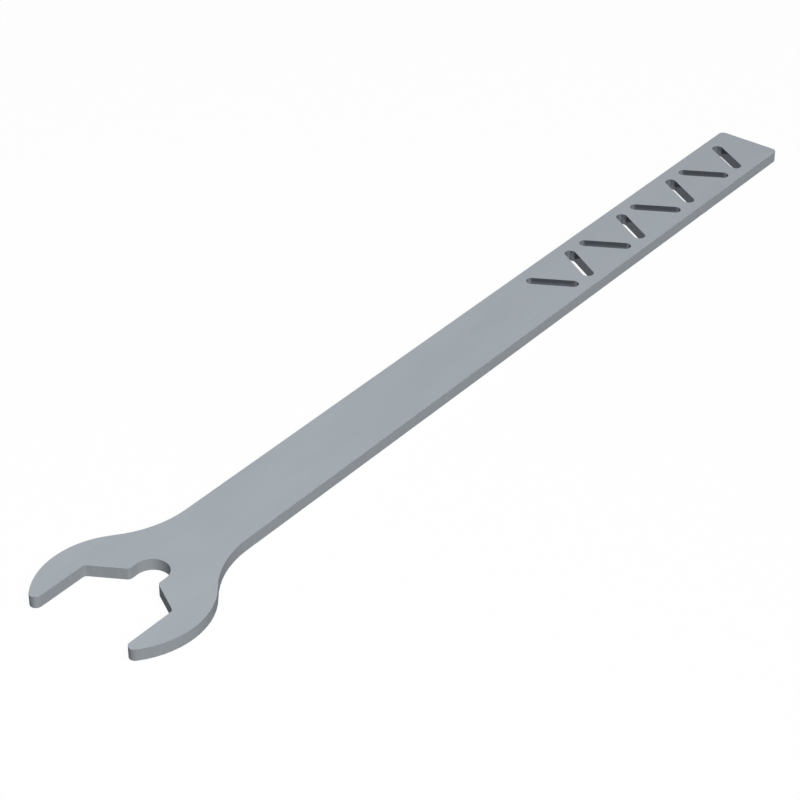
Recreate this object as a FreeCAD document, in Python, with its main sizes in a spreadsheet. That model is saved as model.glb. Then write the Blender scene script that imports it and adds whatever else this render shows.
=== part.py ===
import FreeCAD, Part
import math
import os

import Sketcher

# A flat open-end wrench, cut in one piece from steel plate, with sharp cut edges.
# Millimetres, +Z up through the thickness, +X along the handle to its free end.
# The plate lies on Z = 0, and the origin is midway along its overall length.
# The body is drawn about the centre of the round head, then placed along X.

doc = FreeCAD.newDocument("open_end_wrench")

driving = [
    ("overall_length", 450.0, "tips of the jaws to the free end"),
    ("plate_thickness", 5.0, "flat bar stock"),
    ("handle_width", 30.0, "flat bar stock"),
    ("across_flats", 43.0, "the hexagon mouth, jaw to jaw"),
    ("jaw_wall", 12.25, "jaw flat to the outside of the head, at its widest"),
    ("head_offset", 10.0, "centre of the hexagon to the centre of the head"),
    ("neck_radius", 42.5, "concave sweep from the head to the handle"),
    ("jaw_tip_radius", 2.5, "rounding of each jaw's nose"),
    ("mouth_corner_radius", 2.0, "inside corner, jaw flat to back flat"),
    ("relief_width", 14.0, "round-ended relief at the back of the mouth"),
    ("relief_edge_radius", 2.0, "outside corner, back flat to relief"),
    ("end_corner_radius", 2.5, "corners of the free end"),
    ("slot_width", 5.0, "through slots in the grip"),
    ("slot_length", 22.5, "end to end of one slot"),
    ("slot_angle", 60.0, "lean of each slot from the handle's line, degrees"),
    ("slot_pitch", 20.0, "centre to centre of neighbouring slots"),
    ("slot_end_distance", 20.0, "centre of the last slot to the free end"),
    ("slot_pairs", 4.0, "pairs of slots that lean opposite ways"),
]

sheet = doc.addObject("Spreadsheet::Sheet", "dims")
for row, (alias, value, note) in enumerate(driving, start=1):
    sheet.set(f"A{row}", alias)
    sheet.set(f"B{row}", str(value))
    sheet.set(f"C{row}", note)
    sheet.setAlias(f"B{row}", alias)
doc.recompute()

# Half the angle that one side of a hexagon takes up at its centre, in degrees.
HALF_SIDE = 30

# Sizes that follow from the sheet, as expressions for the features.
half_flats = "(dims.across_flats / 2)"
head_radius = f"({half_flats} + dims.jaw_wall)"
tip_reach = (f"(sqrt(({head_radius} - dims.jaw_tip_radius)^2"
             f" - ({half_flats} + dims.jaw_tip_radius)^2) + dims.jaw_tip_radius)")
free_end = f"(dims.overall_length - {tip_reach})"
mouth_vertex = f"({half_flats} / cos({HALF_SIDE} deg) - dims.head_offset)"
back_depth = f"({half_flats} * tan({HALF_SIDE} deg))"
last_slot = f"({free_end} - dims.slot_end_distance)"

body = doc.addObject("PartDesign::Body", "wrench_body")
body.Label = "wrench_body"
body.setExpression("Placement.Base.x", f"{tip_reach} - dims.overall_length / 2")

# The sketcher's numbers for its own origin and X axis, and for the points of an edge.
ORIGIN = (-1, 1)
X_AXIS = -1
START, END, CENTRE = 1, 2, 3

# How near two heights, or two places in the plan, count as the same.
SAME_HEIGHT = 1e-6
SAME_PLACE = 1e-3


def value_of(expression):
    """The number that an expression gives with the sheet's present values."""
    return float(sheet.evalExpression(expression))


def new_sketch(name):
    """An empty sketch on the body's own XY plane."""
    sketch = body.newObject("Sketcher::SketchObject", name)
    planes = [p for p in body.Origin.OriginFeatures if p.Role == "XY_Plane"]
    sketch.AttachmentSupport = (planes[0], "")
    sketch.MapMode = "FlatFace"
    return sketch


def bind(sketch, name, expression, constraint):
    """Add a dimension to a sketch and tie it to the sheet."""
    index = sketch.addConstraint(constraint)
    sketch.renameConstraint(index, name)
    sketch.setExpression(f"Constraints.{name}", expression)


def closed_outline(sketch, points):
    """Straight edges from point to point, joined end to start."""
    corners = [FreeCAD.Vector(x, y, 0) for x, y in points]
    following = corners[1:] + corners[:1]
    edges = [sketch.addGeometry(Part.LineSegment(a, b)) for a, b in zip(corners, following)]
    for this, after in zip(edges, edges[1:] + edges[:1]):
        sketch.addConstraint(Sketcher.Constraint("Coincident", this, END, after, START))
    return edges


def pad(name, sketch):
    """Raise a sketch to the plate's thickness."""
    feature = body.newObject("PartDesign::Pad", name)
    feature.Profile = sketch
    feature.setExpression("Length", "dims.plate_thickness")
    sketch.Visibility = False
    doc.recompute()
    return feature


def pocket(name, sketch):
    """Cut a sketch right through the plate, up from its lower face."""
    before = body.Shape.Volume
    feature = body.newObject("PartDesign::Pocket", name)
    feature.Profile = sketch
    feature.Type = "ThroughAll"
    feature.Reversed = True
    sketch.Visibility = False
    doc.recompute()
    if body.Shape.Volume >= before:
        raise RuntimeError(f"{name} cuts nothing")
    return feature


def edges_at(shape, points):
    """Names of the upright edges that stand at the given points of the plan."""
    names = []
    for number, edge in enumerate(shape.Edges, start=1):
        ends = [v.Point for v in edge.Vertexes]
        if len(ends) != 2 or abs(ends[0].z - ends[1].z) < SAME_HEIGHT:
            continue
        foot = ends[0]
        if any(math.hypot(foot.x - x, foot.y - y) < SAME_PLACE for x, y in points):
            names.append(f"Edge{number}")
    if len(names) != len(points):
        raise RuntimeError(f"found {len(names)} upright edges, wanted {len(points)}")
    return names


def both_sides(x, y):
    """A point of the plan and its mirror image across the handle's line."""
    return [(x, y), (x, -y)]


def round_edges(name, points, radius):
    """Fillet the upright edges at the given points."""
    base = body.Tip
    feature = body.newObject("PartDesign::Fillet", name)
    feature.Base = (base, edges_at(base.Shape, points))
    feature.setExpression("Radius", radius)
    doc.recompute()
    return feature


# Handle: a straight bar from the head's centre to the free end.
half_width = value_of("dims.handle_width / 2")
end_x = value_of(free_end)
handle_sketch = new_sketch("handle_outline")
lower, end, upper, start = closed_outline(
    handle_sketch,
    [(0, -half_width), (end_x, -half_width), (end_x, half_width), (0, half_width)],
)
for edge in (lower, upper):
    handle_sketch.addConstraint(Sketcher.Constraint("Horizontal", edge))
handle_sketch.addConstraint(Sketcher.Constraint("Vertical", end))
handle_sketch.addConstraint(
    Sketcher.Constraint("Symmetric", start, START, start, END, *ORIGIN))
bind(handle_sketch, "width", "dims.handle_width",
     Sketcher.Constraint("DistanceY", end, START, end, END, 2 * half_width))
bind(handle_sketch, "reach", free_end,
     Sketcher.Constraint("DistanceX", *ORIGIN, end, START, end_x))
pad("handle", handle_sketch)

# Head: a disc about the body's own centre.
head_r = value_of(head_radius)
head_sketch = new_sketch("head_outline")
head_circle = head_sketch.addGeometry(
    Part.Circle(FreeCAD.Vector(0, 0, 0), FreeCAD.Vector(0, 0, 1), head_r))
head_sketch.addConstraint(Sketcher.Constraint("Coincident", head_circle, CENTRE, *ORIGIN))
bind(head_sketch, "radius", head_radius, Sketcher.Constraint("Radius", head_circle, head_r))
pad("head", head_sketch)

# Neck: the handle's sides sweep out into the head.
neck_x = math.sqrt(head_r ** 2 - half_width ** 2)
round_edges("neck", both_sides(neck_x, half_width), "dims.neck_radius")

# Mouth: the open half of a hexagon, its two back flats meeting on the handle's line.
half_af = value_of(half_flats)
vertex_x = value_of(mouth_vertex)
corner_x = vertex_x - value_of(back_depth)
front_x = -head_r - half_width
mouth_sketch = new_sketch("mouth_outline")
lower_jaw, lower_back, upper_back, upper_jaw, front = closed_outline(
    mouth_sketch,
    [(front_x, -half_af), (corner_x, -half_af), (vertex_x, 0),
     (corner_x, half_af), (front_x, half_af)],
)
for edge in (lower_jaw, upper_jaw):
    mouth_sketch.addConstraint(Sketcher.Constraint("Horizontal", edge))
mouth_sketch.addConstraint(Sketcher.Constraint("Vertical", front))
mouth_sketch.addConstraint(
    Sketcher.Constraint("Symmetric", lower_back, START, upper_back, END, X_AXIS))
mouth_sketch.addConstraint(
    Sketcher.Constraint("PointOnObject", lower_back, END, X_AXIS))
bind(mouth_sketch, "across_flats", "dims.across_flats",
     Sketcher.Constraint("DistanceY", front, END, front, START, 2 * half_af))
bind(mouth_sketch, "back_flat", back_depth,
     Sketcher.Constraint("DistanceX", lower_back, START, lower_back, END, vertex_x - corner_x))
bind(mouth_sketch, "vertex", mouth_vertex,
     Sketcher.Constraint("DistanceX", *ORIGIN, lower_back, END, vertex_x))
bind(mouth_sketch, "past_the_jaws", f"{head_radius} + dims.handle_width / 2",
     Sketcher.Constraint("DistanceX", front, END, *ORIGIN, -front_x))
pocket("mouth", mouth_sketch)

# Relief: a round-ended notch on the hexagon's back vertex, clear of a nut's corner.
relief_r = value_of("dims.relief_width / 2")
relief_sketch = new_sketch("relief_outline")
relief_start = vertex_x - half_af
relief_arc = relief_sketch.addGeometry(Part.ArcOfCircle(
    Part.Circle(FreeCAD.Vector(vertex_x, 0, 0), FreeCAD.Vector(0, 0, 1), relief_r),
    -math.pi / 2, math.pi / 2))
relief_upper = relief_sketch.addGeometry(Part.LineSegment(
    FreeCAD.Vector(vertex_x, relief_r, 0), FreeCAD.Vector(relief_start, relief_r, 0)))
relief_close = relief_sketch.addGeometry(Part.LineSegment(
    FreeCAD.Vector(relief_start, relief_r, 0), FreeCAD.Vector(relief_start, -relief_r, 0)))
relief_lower = relief_sketch.addGeometry(Part.LineSegment(
    FreeCAD.Vector(relief_start, -relief_r, 0), FreeCAD.Vector(vertex_x, -relief_r, 0)))
relief_sketch.addConstraint(
    Sketcher.Constraint("Tangent", relief_arc, END, relief_upper, START))
relief_sketch.addConstraint(
    Sketcher.Constraint("Tangent", relief_lower, END, relief_arc, START))
relief_sketch.addConstraint(
    Sketcher.Constraint("Coincident", relief_upper, END, relief_close, START))
relief_sketch.addConstraint(
    Sketcher.Constraint("Coincident", relief_close, END, relief_lower, START))
relief_sketch.addConstraint(Sketcher.Constraint("Horizontal", relief_upper))
relief_sketch.addConstraint(Sketcher.Constraint("Vertical", relief_close))
relief_sketch.addConstraint(
    Sketcher.Constraint("PointOnObject", relief_arc, CENTRE, X_AXIS))
bind(relief_sketch, "width", "dims.relief_width",
     Sketcher.Constraint("DistanceY", relief_close, END, relief_close, START, 2 * relief_r))
bind(relief_sketch, "vertex", mouth_vertex,
     Sketcher.Constraint("DistanceX", *ORIGIN, relief_arc, CENTRE, vertex_x))
bind(relief_sketch, "run", half_flats,
     Sketcher.Constraint("DistanceX", relief_upper, END, relief_upper, START, half_af))
pocket("relief", relief_sketch)

# Corners of the outline.
jaw_nose_x = -math.sqrt(head_r ** 2 - half_af ** 2)
relief_edge_x = vertex_x - relief_r * math.tan(math.radians(HALF_SIDE))
round_edges("jaw_tips", both_sides(jaw_nose_x, half_af), "dims.jaw_tip_radius")
round_edges("mouth_corners", both_sides(corner_x, half_af), "dims.mouth_corner_radius")
round_edges("relief_edges", both_sides(relief_edge_x, relief_r), "dims.relief_edge_radius")
round_edges("end_corners", both_sides(end_x, half_width), "dims.end_corner_radius")


def slot_row(name, lean, centre):
    """Every second slot of the grip, from the free end, all leaning one way."""
    radius = value_of("dims.slot_width / 2")
    half_run = value_of("(dims.slot_length - dims.slot_width) / 2")
    sketch = new_sketch(f"{name}_outline")
    sketch.setExpression("AttachmentOffset.Base.x", centre)
    sketch.setExpression("AttachmentOffset.Rotation.Angle", f"{lean} * dims.slot_angle")
    axis = FreeCAD.Vector(0, 0, 1)
    far_circle = Part.Circle(FreeCAD.Vector(half_run, 0, 0), axis, radius)
    near_circle = Part.Circle(FreeCAD.Vector(-half_run, 0, 0), axis, radius)
    far = sketch.addGeometry(Part.ArcOfCircle(far_circle, -math.pi / 2, math.pi / 2))
    near = sketch.addGeometry(Part.ArcOfCircle(near_circle, math.pi / 2, 3 * math.pi / 2))
    top = sketch.addGeometry(Part.LineSegment(
        FreeCAD.Vector(half_run, radius, 0), FreeCAD.Vector(-half_run, radius, 0)))
    bottom = sketch.addGeometry(Part.LineSegment(
        FreeCAD.Vector(-half_run, -radius, 0), FreeCAD.Vector(half_run, -radius, 0)))
    joints = [(far, END, top, START), (top, END, near, START),
              (near, END, bottom, START), (bottom, END, far, START)]
    for joint in joints:
        sketch.addConstraint(Sketcher.Constraint("Tangent", *joint))
    sketch.addConstraint(Sketcher.Constraint("Symmetric", far, CENTRE, near, CENTRE, *ORIGIN))
    sketch.addConstraint(Sketcher.Constraint("Horizontal", top))
    bind(sketch, "end_radius", "dims.slot_width / 2",
         Sketcher.Constraint("Radius", far, radius))
    bind(sketch, "straight", "dims.slot_length - dims.slot_width",
         Sketcher.Constraint("DistanceX", bottom, START, bottom, END, 2 * half_run))
    cut = pocket(name, sketch)

    row = body.newObject("PartDesign::LinearPattern", f"{name}_row")
    row.Originals = [cut]
    x_lines = [a for a in body.Origin.OriginFeatures if a.Role == "X_Axis"]
    row.Direction = (x_lines[0], [""])
    row.Reversed = True
    row.setExpression("Occurrences", "dims.slot_pairs")
    row.setExpression("Length", "2 * dims.slot_pitch * (dims.slot_pairs - 1)")
    body.Tip = row
    doc.recompute()


# Grip: slots in a zigzag, the one at the free end leaning towards +Y.
slot_row("forward_slot", 1, last_slot)
slot_row("backward_slot", -1, f"{last_slot} - dims.slot_pitch")

# Nothing is written unless every object is sound.
for item in doc.Objects:
    if "Invalid" in item.State or "Error" in item.State:
        raise RuntimeError(f"{item.Label} failed: {item.State}")
shape = body.Shape
if shape.isNull() or not shape.isValid() or len(shape.Solids) != 1:
    raise RuntimeError(f"{body.Label} isn't one sound solid")

os.makedirs("parts", exist_ok=True)
shape.exportStep(f"parts/{body.Label}.step")
box = shape.BoundBox
print(f"{body.Label}: {box.XLength:.3f} x {box.YLength:.3f} x {box.ZLength:.3f} mm,"
      f" {len(shape.Faces)} faces, {shape.Volume / 1000:.2f} cm3")
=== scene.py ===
import math

import bpy
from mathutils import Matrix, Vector


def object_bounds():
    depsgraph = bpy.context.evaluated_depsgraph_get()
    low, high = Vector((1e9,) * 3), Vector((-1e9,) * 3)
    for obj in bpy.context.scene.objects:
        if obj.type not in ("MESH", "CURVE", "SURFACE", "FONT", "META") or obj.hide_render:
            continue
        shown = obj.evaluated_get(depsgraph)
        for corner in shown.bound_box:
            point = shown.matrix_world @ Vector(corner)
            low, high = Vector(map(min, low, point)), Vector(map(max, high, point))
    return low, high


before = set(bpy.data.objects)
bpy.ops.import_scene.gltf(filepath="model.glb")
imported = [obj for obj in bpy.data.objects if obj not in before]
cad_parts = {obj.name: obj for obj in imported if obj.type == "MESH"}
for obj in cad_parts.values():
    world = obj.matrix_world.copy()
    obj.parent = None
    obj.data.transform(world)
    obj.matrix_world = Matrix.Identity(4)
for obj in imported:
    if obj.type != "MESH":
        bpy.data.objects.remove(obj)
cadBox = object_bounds()
lowest, highest = Vector(cadBox[0]), Vector(cadBox[1])
length = highest.x - lowest.x
thickness = highest.z - lowest.z
middle = (lowest + highest) / 2
mmPerMetre = 1000.0
scene = bpy.context.scene
print("frame loaded", [round(v, 4) for v in highest - lowest])


def aimAt(thing, target):
    thing.rotation_euler = (target - thing.location).to_track_quat("-Z", "Y").to_euler()


def awayFrom(point, azimuth, elevation, distance):
    # azimuth 0 looks along +Y with +X to the right
    turn, tilt = math.radians(azimuth), math.radians(elevation)
    offset = Vector((math.sin(turn) * math.cos(tilt), -math.cos(turn) * math.cos(tilt), math.sin(tilt)))
    return point + offset * distance


# camera: looks down on the wrench from beside the jaws
cameraLook = {
    "lens": 116.48,
    "azimuth": -52.30,
    "elevation": 33.92,
    "distance": 1.0299,
    "aimAlong": -0.0945,  # share of the length, from the middle towards the jaws
    "aimAcross": -0.00125,
    "nearest": 0.01,
    "farthest": 50.0,
}


def makeCamera(look):
    data = bpy.data.cameras.new("camera")
    data.lens = look["lens"]
    data.clip_start = look["nearest"]
    data.clip_end = look["farthest"]
    camera = bpy.data.objects.new("camera", data)
    scene.collection.objects.link(camera)
    target = middle + Vector((look["aimAlong"] * length, look["aimAcross"], 0))
    camera.location = awayFrom(target, look["azimuth"], look["elevation"], look["distance"])
    aimAt(camera, target)
    scene.camera = camera


makeCamera(cameraLook)
print("camera placed")

# small helpers for node trees; a mix node keeps its two inputs and its result at these sockets
colourSockets, valueSockets = (6, 7, 2), (2, 3, 0)
number, vector = "NodeSocketFloat", "NodeSocketVector"


def emptyTree(owner):
    owner.use_nodes = True
    owner.node_tree.nodes.clear()
    return owner.node_tree


def addNode(tree, kind, **settings):
    node = tree.nodes.new(kind)
    for name, value in settings.items():
        setattr(node, name, value)
    return node


def feed(tree, source, socket):
    if isinstance(source, (int, float, tuple)):
        socket.default_value = source
    else:
        tree.links.new(source, socket)


def calculate(tree, operation, first, second=0.0, third=0.0, clamp=False):
    node = addNode(tree, "ShaderNodeMath", operation=operation, use_clamp=clamp)
    for socket, value in zip(node.inputs, (first, second, third)):
        feed(tree, value, socket)
    return node.outputs[0]


def blend(tree, kind, sockets, amount, base, over):
    node = addNode(tree, "ShaderNodeMix", data_type=kind)
    feed(tree, amount, node.inputs[0])
    feed(tree, base, node.inputs[sockets[0]])
    feed(tree, over, node.inputs[sockets[1]])
    return node.outputs[sockets[2]]


def blendColours(tree, amount, base, over):
    return blend(tree, "RGBA", colourSockets, amount, base, over)


def blendValues(tree, amount, base, over):
    return blend(tree, "FLOAT", valueSockets, amount, base, over)


def remap(tree, value, lowIn, highIn, lowOut=0.0, highOut=1.0):
    node = addNode(tree, "ShaderNodeMapRange", interpolation_type="SMOOTHSTEP")
    for socket, source in zip(node.inputs, (value, lowIn, highIn, lowOut, highOut)):
        feed(tree, source, socket)
    return node.outputs[0]


def noise(tree, place, scale, detail, roughness):
    node = addNode(tree, "ShaderNodeTexNoise")
    feed(tree, place, node.inputs["Vector"])
    feed(tree, scale, node.inputs["Scale"])
    node.inputs["Detail"].default_value = detail
    node.inputs["Roughness"].default_value = roughness
    return node.outputs["Fac"]


def stretch(tree, place, factors):
    node = addNode(tree, "ShaderNodeVectorMath", operation="MULTIPLY")
    feed(tree, place, node.inputs[0])
    node.inputs[1].default_value = factors
    return node.outputs[0]


def axesOf(tree, source):
    node = addNode(tree, "ShaderNodeSeparateXYZ")
    feed(tree, source, node.inputs[0])
    return node.outputs


def roughen(tree, shader, height, strength, depth):
    bump = addNode(tree, "ShaderNodeBump")
    bump.inputs["Strength"].default_value = strength
    bump.inputs["Distance"].default_value = depth
    feed(tree, height, bump.inputs["Height"])
    tree.links.new(bump.outputs[0], shader.inputs["Normal"])


def mixShaders(tree, amount, base, over):
    mix = addNode(tree, "ShaderNodeMixShader")
    feed(tree, amount, mix.inputs[0])
    tree.links.new(base.outputs[0], mix.inputs[1])
    tree.links.new(over.outputs[0], mix.inputs[2])
    return mix


def newGroup(name, inputs, outputs):
    # inputs are (name, socket type) pairs, outputs are the names of values
    group = bpy.data.node_groups.new(name, "ShaderNodeTree")
    for label, kind in inputs:
        group.interface.new_socket(label, in_out="INPUT", socket_type=kind)
    for label in outputs:
        group.interface.new_socket(label, in_out="OUTPUT", socket_type=number)
    return group, addNode(group, "NodeGroupInput").outputs, addNode(group, "NodeGroupOutput").inputs


def useGroup(tree, group, **values):
    node = addNode(tree, "ShaderNodeGroup", node_tree=group)
    for name, value in values.items():
        feed(tree, value, node.inputs[name])
    return node.outputs


# rolled grain: fine lines drawn along the bar by the rolls and the belt, over a soft mottle
grainLook = {
    "lineRun": (0.012, 1.0, 1.0),  # a small first factor draws the lines out along the bar
    "lineDetail": 4.0,
    "lineRoughness": 0.6,
    "mottleRun": (0.35, 1.0, 1.0),
    "mottleDetail": 3.0,
    "mottleRoughness": 0.5,
    "contrast": (0.3, 0.7),
    "lineShare": 0.7,  # of the height, the rest is mottle
}


def makeRollGrain(look):
    group, given, result = newGroup(
        "rollGrain",
        [("Place", vector), ("LinePitch", number), ("MottleSize", number)],
        ["Lines", "Mottle", "Height"],
    )
    # places are in metres and sizes in millimetres
    lineScale = calculate(group, "DIVIDE", mmPerMetre, given["LinePitch"])
    mottleScale = calculate(group, "DIVIDE", mmPerMetre, given["MottleSize"])
    drawn = noise(group, stretch(group, given["Place"], look["lineRun"]), lineScale,
                  look["lineDetail"], look["lineRoughness"])
    cloud = noise(group, stretch(group, given["Place"], look["mottleRun"]), mottleScale,
                  look["mottleDetail"], look["mottleRoughness"])
    lines = remap(group, drawn, *look["contrast"])
    mottle = remap(group, cloud, *look["contrast"])
    feed(group, lines, result["Lines"])
    feed(group, mottle, result["Mottle"])
    mottleHeight = calculate(group, "MULTIPLY", mottle, 1.0 - look["lineShare"])
    feed(group, calculate(group, "MULTIPLY_ADD", lines, look["lineShare"], mottleHeight), result["Height"])
    return group


# scratches: sparse and fine, in three directions, from handling
scratchLook = {
    "runs": ((17.0, 0.0), (-34.0, 3.7), (71.0, 8.1)),  # angle in degrees, and shift
    "stretch": (28.0, 900.0, 1.0),
    "streakScale": 1.0,
    "streakDetail": 1.0,
    "streakRoughness": 0.4,
    "streakContrast": (0.74, 0.80),
    "breakScale": 45.0,
    "breakStep": 9.0,  # more scale for each unit of shift
    "breakDetail": 2.0,
    "breakRoughness": 0.5,
    "breakContrast": (0.52, 0.62),
}


def makeHairScratches(look):
    group, given, result = newGroup(
        "hairScratches", [("Place", vector), ("Amount", number)], ["Mask"])
    masks = []
    for angle, shift in look["runs"]:
        turned = addNode(group, "ShaderNodeMapping")
        feed(group, given["Place"], turned.inputs["Vector"])
        turned.inputs["Location"].default_value = (shift, shift, 0)
        turned.inputs["Rotation"].default_value = (0, 0, math.radians(angle))
        turned.inputs["Scale"].default_value = look["stretch"]
        streak = noise(group, turned.outputs[0], look["streakScale"],
                       look["streakDetail"], look["streakRoughness"])
        broken = noise(group, given["Place"], look["breakScale"] + look["breakStep"] * shift,
                       look["breakDetail"], look["breakRoughness"])
        thin = remap(group, streak, *look["streakContrast"])
        masks.append(calculate(group, "MULTIPLY", thin, remap(group, broken, *look["breakContrast"])))
    total = calculate(group, "MAXIMUM", masks[0], calculate(group, "MAXIMUM", masks[1], masks[2]))
    feed(group, calculate(group, "MULTIPLY", total, given["Amount"], clamp=True), result["Mask"])
    return group


# upright drag lines that the cutting jet leaves down a wall
cutLook = {
    "run": (1.0, 1.0, 0.05),  # a small last factor stands the lines upright
    "detail": 3.0,
    "roughness": 0.6,
    "contrast": (0.32, 0.68),
    "lowerDepth": 1.0,  # the lines deepen towards the lower face, where the jet lags
    "upperDepth": 0.35,
}


def makeCutLines(look):
    group, given, result = newGroup(
        "cutLines", [("Place", vector), ("LinePitch", number), ("Level", number)], ["Lines", "Height"])
    scale = calculate(group, "DIVIDE", mmPerMetre, given["LinePitch"])
    upright = noise(group, stretch(group, given["Place"], look["run"]), scale,
                    look["detail"], look["roughness"])
    lines = remap(group, upright, *look["contrast"])
    depth = remap(group, given["Level"], 0.0, 1.0, look["lowerDepth"], look["upperDepth"])
    feed(group, lines, result["Lines"])
    feed(group, calculate(group, "MULTIPLY", lines, depth), result["Height"])
    return group


# masks: flat faces, and the straight walls of the slots, told by the way they face
maskLook = {
    "flatFrom": 0.92,  # upright share of a flat face's normal
    "onLean": 0.02,  # within this of the slots' own lean a wall is straight
    "offLean": 0.32,  # and beyond this it is a round end
}


def makeFaceMasks(look):
    group, given, result = newGroup(
        "faceMasks", [("Normal", vector), ("Rounded", vector), ("SlotLean", number)], ["Flat", "Straight"])
    upness = calculate(group, "ABSOLUTE", axesOf(group, given["Normal"])[2])
    feed(group, calculate(group, "GREATER_THAN", upness, look["flatFrom"]), result["Flat"])
    # the straight walls all lean the same way across the bar, their round ends don't
    lean = calculate(group, "ABSOLUTE", axesOf(group, given["Rounded"])[1])
    apart = calculate(group, "ABSOLUTE", calculate(group, "SUBTRACT", lean, given["SlotLean"]))
    feed(group, remap(group, apart, look["onLean"], look["offLean"], 1.0, 0.0), result["Straight"])
    return group


rollGrain = makeRollGrain(grainLook)
hairScratches = makeHairScratches(scratchLook)
cutLines = makeCutLines(cutLook)
faceMasks = makeFaceMasks(maskLook)

# steel plate: rolled faces, cut walls, and slot walls with painted shade, a darker colour that stands in
# for the shade inside the slots
steelLook = {
    "face": (0.383, 0.417, 0.450, 1.0),
    "faceDeep": (0.355, 0.387, 0.419, 1.0),
    "faceScratch": (0.47, 0.50, 0.53, 1.0),
    "wall": (0.360, 0.387, 0.415, 1.0),
    "wallDeep": (0.336, 0.361, 0.389, 1.0),
    # painted shade: the slot colours are darker to stand in for the shade deep inside the narrow slots,
    # and only part of it reaches their round ends
    "slot": (0.138, 0.151, 0.171, 1.0),
    "slotDeep": (0.124, 0.137, 0.156, 1.0),
    "slotBand": 0.012,  # half width of the strip that holds the slots
    "slotAngle": 60.0,
    "endShadeShare": 0.62,  # share of the slot's darkening that reaches its round ends
    "slotStart": 0.12,  # where the slots start, as a share of the length past the middle
    "linePitch": 0.35,
    "mottleSize": 16.0,
    "cutPitch": 0.55,
    "scratches": 0.35,
    "lineTint": 0.45,  # share of the face's tint that follows the lines, the rest the mottle
    "specular": 0.0,
    "faceMetal": 0.3,
    "wallMetal": 0.02,
    "slotMetal": 0.36,
    "faceRough": 0.52,
    "mottleRough": 0.10,  # how much roughness changes over the mottle
    "scratchRough": -0.12,
    "wallRough": 0.45,
    "slotRough": 0.12,
    "lineRough": 0.06,  # how much it changes over the drag lines
    "grainHeight": 0.25,
    "scratchHeight": 0.5,
    "relief": 0.35,
    "reliefDepth": 0.00006,  # a few hundredths of a millimetre
}


def slotMask(tree, look, place, straight):
    # the slots lie in a strip along the bar's middle, and start some way past its own
    along, across, _ = axesOf(tree, place)
    inBand = calculate(tree, "LESS_THAN", calculate(tree, "ABSOLUTE", across), look["slotBand"])
    pastStart = calculate(tree, "GREATER_THAN", along, middle.x + look["slotStart"] * length)
    # painted shade: full on the straight slot walls, a share of it on their round ends
    slotShadeShare = blendValues(tree, straight, look["endShadeShare"], 1.0)
    return calculate(tree, "MULTIPLY", calculate(tree, "MULTIPLY", inBand, pastStart), slotShadeShare)


def makeSteel(look):
    material = bpy.data.materials.new("steelPlate")
    tree = emptyTree(material)
    output = addNode(tree, "ShaderNodeOutputMaterial")
    shader = addNode(tree, "ShaderNodeBsdfPrincipled")
    tree.links.new(shader.outputs[0], output.inputs["Surface"])
    shader.inputs["Specular IOR Level"].default_value = look["specular"]

    place = addNode(tree, "ShaderNodeTexCoord").outputs["Object"]
    surfaceInfo = addNode(tree, "ShaderNodeNewGeometry").outputs
    masks = useGroup(tree, faceMasks, Normal=surfaceInfo["True Normal"], Rounded=surfaceInfo["Normal"],
                     SlotLean=math.cos(math.radians(look["slotAngle"])))
    flat = masks["Flat"]
    inSlots = slotMask(tree, look, place, masks["Straight"])
    height = calculate(tree, "SUBTRACT", axesOf(tree, place)[2], lowest.z)
    level = calculate(tree, "DIVIDE", height, thickness)

    grain = useGroup(tree, rollGrain, Place=place, LinePitch=look["linePitch"],
                     MottleSize=look["mottleSize"])
    scratch = useGroup(tree, hairScratches, Place=place, Amount=look["scratches"])["Mask"]
    cut = useGroup(tree, cutLines, Place=place, LinePitch=look["cutPitch"], Level=level)

    # colour
    mottleTint = calculate(tree, "MULTIPLY", grain["Mottle"], 1.0 - look["lineTint"])
    shade = calculate(tree, "MULTIPLY_ADD", grain["Lines"], look["lineTint"], mottleTint)
    faceColour = blendColours(tree, shade, look["faceDeep"], look["face"])
    faceColour = blendColours(tree, scratch, faceColour, look["faceScratch"])
    wallColour = blendColours(tree, cut["Lines"], look["wallDeep"], look["wall"])
    # painted shade: the slot walls take the darker slot colour
    slotColour = blendColours(tree, cut["Lines"], look["slotDeep"], look["slot"])
    wallColour = blendColours(tree, inSlots, wallColour, slotColour)
    feed(tree, blendColours(tree, flat, wallColour, faceColour), shader.inputs["Base Color"])

    # metal and roughness
    metal = blendValues(tree, inSlots, look["wallMetal"], look["slotMetal"])
    feed(tree, blendValues(tree, flat, metal, look["faceMetal"]), shader.inputs["Metallic"])
    faceRough = calculate(tree, "MULTIPLY_ADD", grain["Mottle"], look["mottleRough"],
                          look["faceRough"] - look["mottleRough"] / 2)
    faceRough = calculate(tree, "MULTIPLY_ADD", scratch, look["scratchRough"], faceRough)
    wallRough = blendValues(tree, inSlots, look["wallRough"], look["slotRough"])
    wallRough = calculate(tree, "ADD", wallRough, look["lineRough"] / 2)
    wallRough = calculate(tree, "MULTIPLY_ADD", cut["Lines"], -look["lineRough"], wallRough)
    feed(tree, blendValues(tree, flat, wallRough, faceRough), shader.inputs["Roughness"])

    # relief: shallow grain and scratches on the faces, deeper drag lines on the walls
    faceHeight = calculate(tree, "SUBTRACT",
                           calculate(tree, "MULTIPLY", grain["Height"], look["grainHeight"]),
                           calculate(tree, "MULTIPLY", scratch, look["scratchHeight"]))
    relief = blendValues(tree, flat, cut["Height"], faceHeight)
    roughen(tree, shader, relief, look["relief"], look["reliefDepth"])
    return material


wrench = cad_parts["wrench_body"]
wrench.data.materials.clear()
wrench.data.materials.append(makeSteel(steelLook))
print("steel plate finished")

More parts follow.
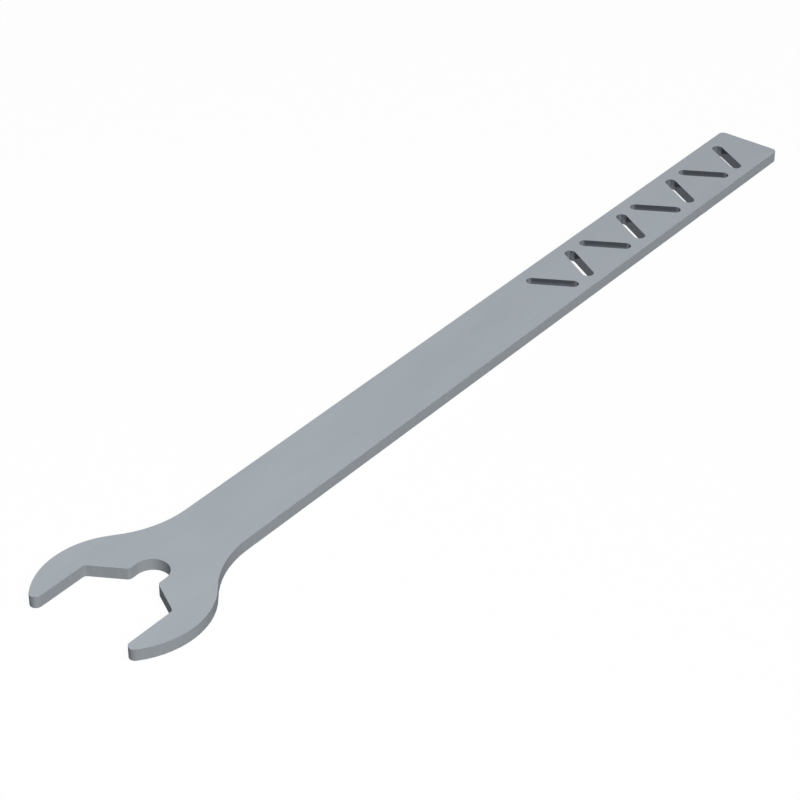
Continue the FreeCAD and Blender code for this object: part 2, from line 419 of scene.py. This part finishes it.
# ground and surroundings: a pale sheet that fades to plain white
groundLook = {
    "size": 30.0,
    "gap": 0.0001,  # air under the plate
    "paper": (0.10, 0.10, 0.10, 1.0),  # what the paper sends back onto the wrench
    "paperSeen": (0.95, 0.95, 0.95, 1.0),
    "paperRough": 0.9,
    "paperSpecular": 0.1,
    "fleckScale": 350.0,
    "fleckDetail": 2.0,
    "fleckRoughness": 0.55,
    "fleckRelief": 0.05,
    "fleckDepth": 0.0001,
    "bounce": 0.09,  # even light from the paper, which also reaches the underside
    "white": 1.0,
    "whiteColour": (1.0, 1.0, 1.0, 1.0),
    "keepShadow": 0.06,  # share of the real shading that stays in the white
    "fadeStart": 1.0,  # from here outwards the paper turns to plain white
    "fadeEnd": 4.0,
    "ambient": (0.07, 0.071, 0.073, 1.0),
}


def seenDirectly(tree, rays):
    seen = calculate(tree, "MAXIMUM", rays["Is Camera Ray"], rays["Is Glossy Ray"])
    return calculate(tree, "MAXIMUM", seen, rays["Is Transmission Ray"])


def makePaper(look):
    material = bpy.data.materials.new("palePaper")
    tree = emptyTree(material)
    output = addNode(tree, "ShaderNodeOutputMaterial")
    rays = addNode(tree, "ShaderNodeLightPath").outputs
    seen = seenDirectly(tree, rays)
    place = addNode(tree, "ShaderNodeTexCoord").outputs["Object"]

    paper = addNode(tree, "ShaderNodeBsdfPrincipled")
    paper.inputs["Roughness"].default_value = look["paperRough"]
    paper.inputs["Specular IOR Level"].default_value = look["paperSpecular"]
    feed(tree, blendColours(tree, seen, look["paper"], look["paperSeen"]), paper.inputs["Base Color"])
    fleck = noise(tree, place, look["fleckScale"], look["fleckDetail"], look["fleckRoughness"])
    roughen(tree, paper, fleck, look["fleckRelief"], look["fleckDepth"])

    # the sheet shows white with a little of its real shading, which dies away outwards
    glow = addNode(tree, "ShaderNodeEmission")
    glow.inputs["Strength"].default_value = look["white"]
    away = addNode(tree, "ShaderNodeVectorMath", operation="LENGTH")
    feed(tree, place, away.inputs[0])
    kept = remap(tree, away.outputs["Value"], look["fadeStart"], look["fadeEnd"], look["keepShadow"], 0.0)
    glowShare = calculate(tree, "MULTIPLY", seen, calculate(tree, "SUBTRACT", 1.0, kept))
    sheet = mixShaders(tree, calculate(tree, "MAXIMUM", glowShare, look["bounce"]), paper, glow)

    # from below it is clear, so the underside can be looked at
    clear = addNode(tree, "ShaderNodeBsdfTransparent")
    back = addNode(tree, "ShaderNodeNewGeometry").outputs["Backfacing"]
    fromBelow = calculate(tree, "MULTIPLY", back, rays["Is Camera Ray"])
    tree.links.new(mixShaders(tree, fromBelow, sheet, clear).outputs[0], output.inputs["Surface"])
    return material


def makeGround(look):
    mesh = bpy.data.meshes.new("ground")
    half = look["size"] / 2
    corners = [(-half, -half, 0), (half, -half, 0), (half, half, 0), (-half, half, 0)]
    mesh.from_pydata(corners, [], [(0, 1, 2, 3)])
    mesh.materials.append(makePaper(look))
    ground = bpy.data.objects.new("ground", mesh)
    scene.collection.objects.link(ground)
    ground.location.z = lowest.z - look["gap"]


def makeSurroundings(look):
    scene.world = bpy.data.worlds.new("studio")
    tree = emptyTree(scene.world)
    output = addNode(tree, "ShaderNodeOutputWorld")
    ambient = addNode(tree, "ShaderNodeBackground")
    ambient.inputs["Color"].default_value = look["ambient"]
    white = addNode(tree, "ShaderNodeBackground")
    white.inputs["Color"].default_value = look["whiteColour"]
    white.inputs["Strength"].default_value = look["white"]
    seen = seenDirectly(tree, addNode(tree, "ShaderNodeLightPath").outputs)
    tree.links.new(mixShaders(tree, seen, ambient, white).outputs[0], output.inputs["Surface"])


makeGround(groundLook)
makeSurroundings(groundLook)

# lamps: a broad soft box over the -Y side and a small one above the head
lampLooks = [
    {"name": "keyBox", "azimuth": -26.0, "elevation": 50.0, "distance": 5.0, "size": 4.3,
     "power": 299.0, "along": 0.0},
    {"name": "headBox", "azimuth": 0.0, "elevation": 90.0, "distance": 0.5, "size": 0.25,
     "power": 0.40, "along": -0.55},
]


def makeLamp(look):
    data = bpy.data.lights.new(look["name"], "AREA")
    data.shape = "SQUARE"
    data.size = look["size"]
    data.energy = look["power"]
    lamp = bpy.data.objects.new(look["name"], data)
    scene.collection.objects.link(lamp)
    target = middle + Vector((look["along"] * length, 0, 0))
    lamp.location = awayFrom(target, look["azimuth"], look["elevation"], look["distance"])
    aimAt(lamp, target)


for lampLook in lampLooks:
    makeLamp(lampLook)
scene.view_settings.view_transform = "Standard"
print("ground and lamps placed")
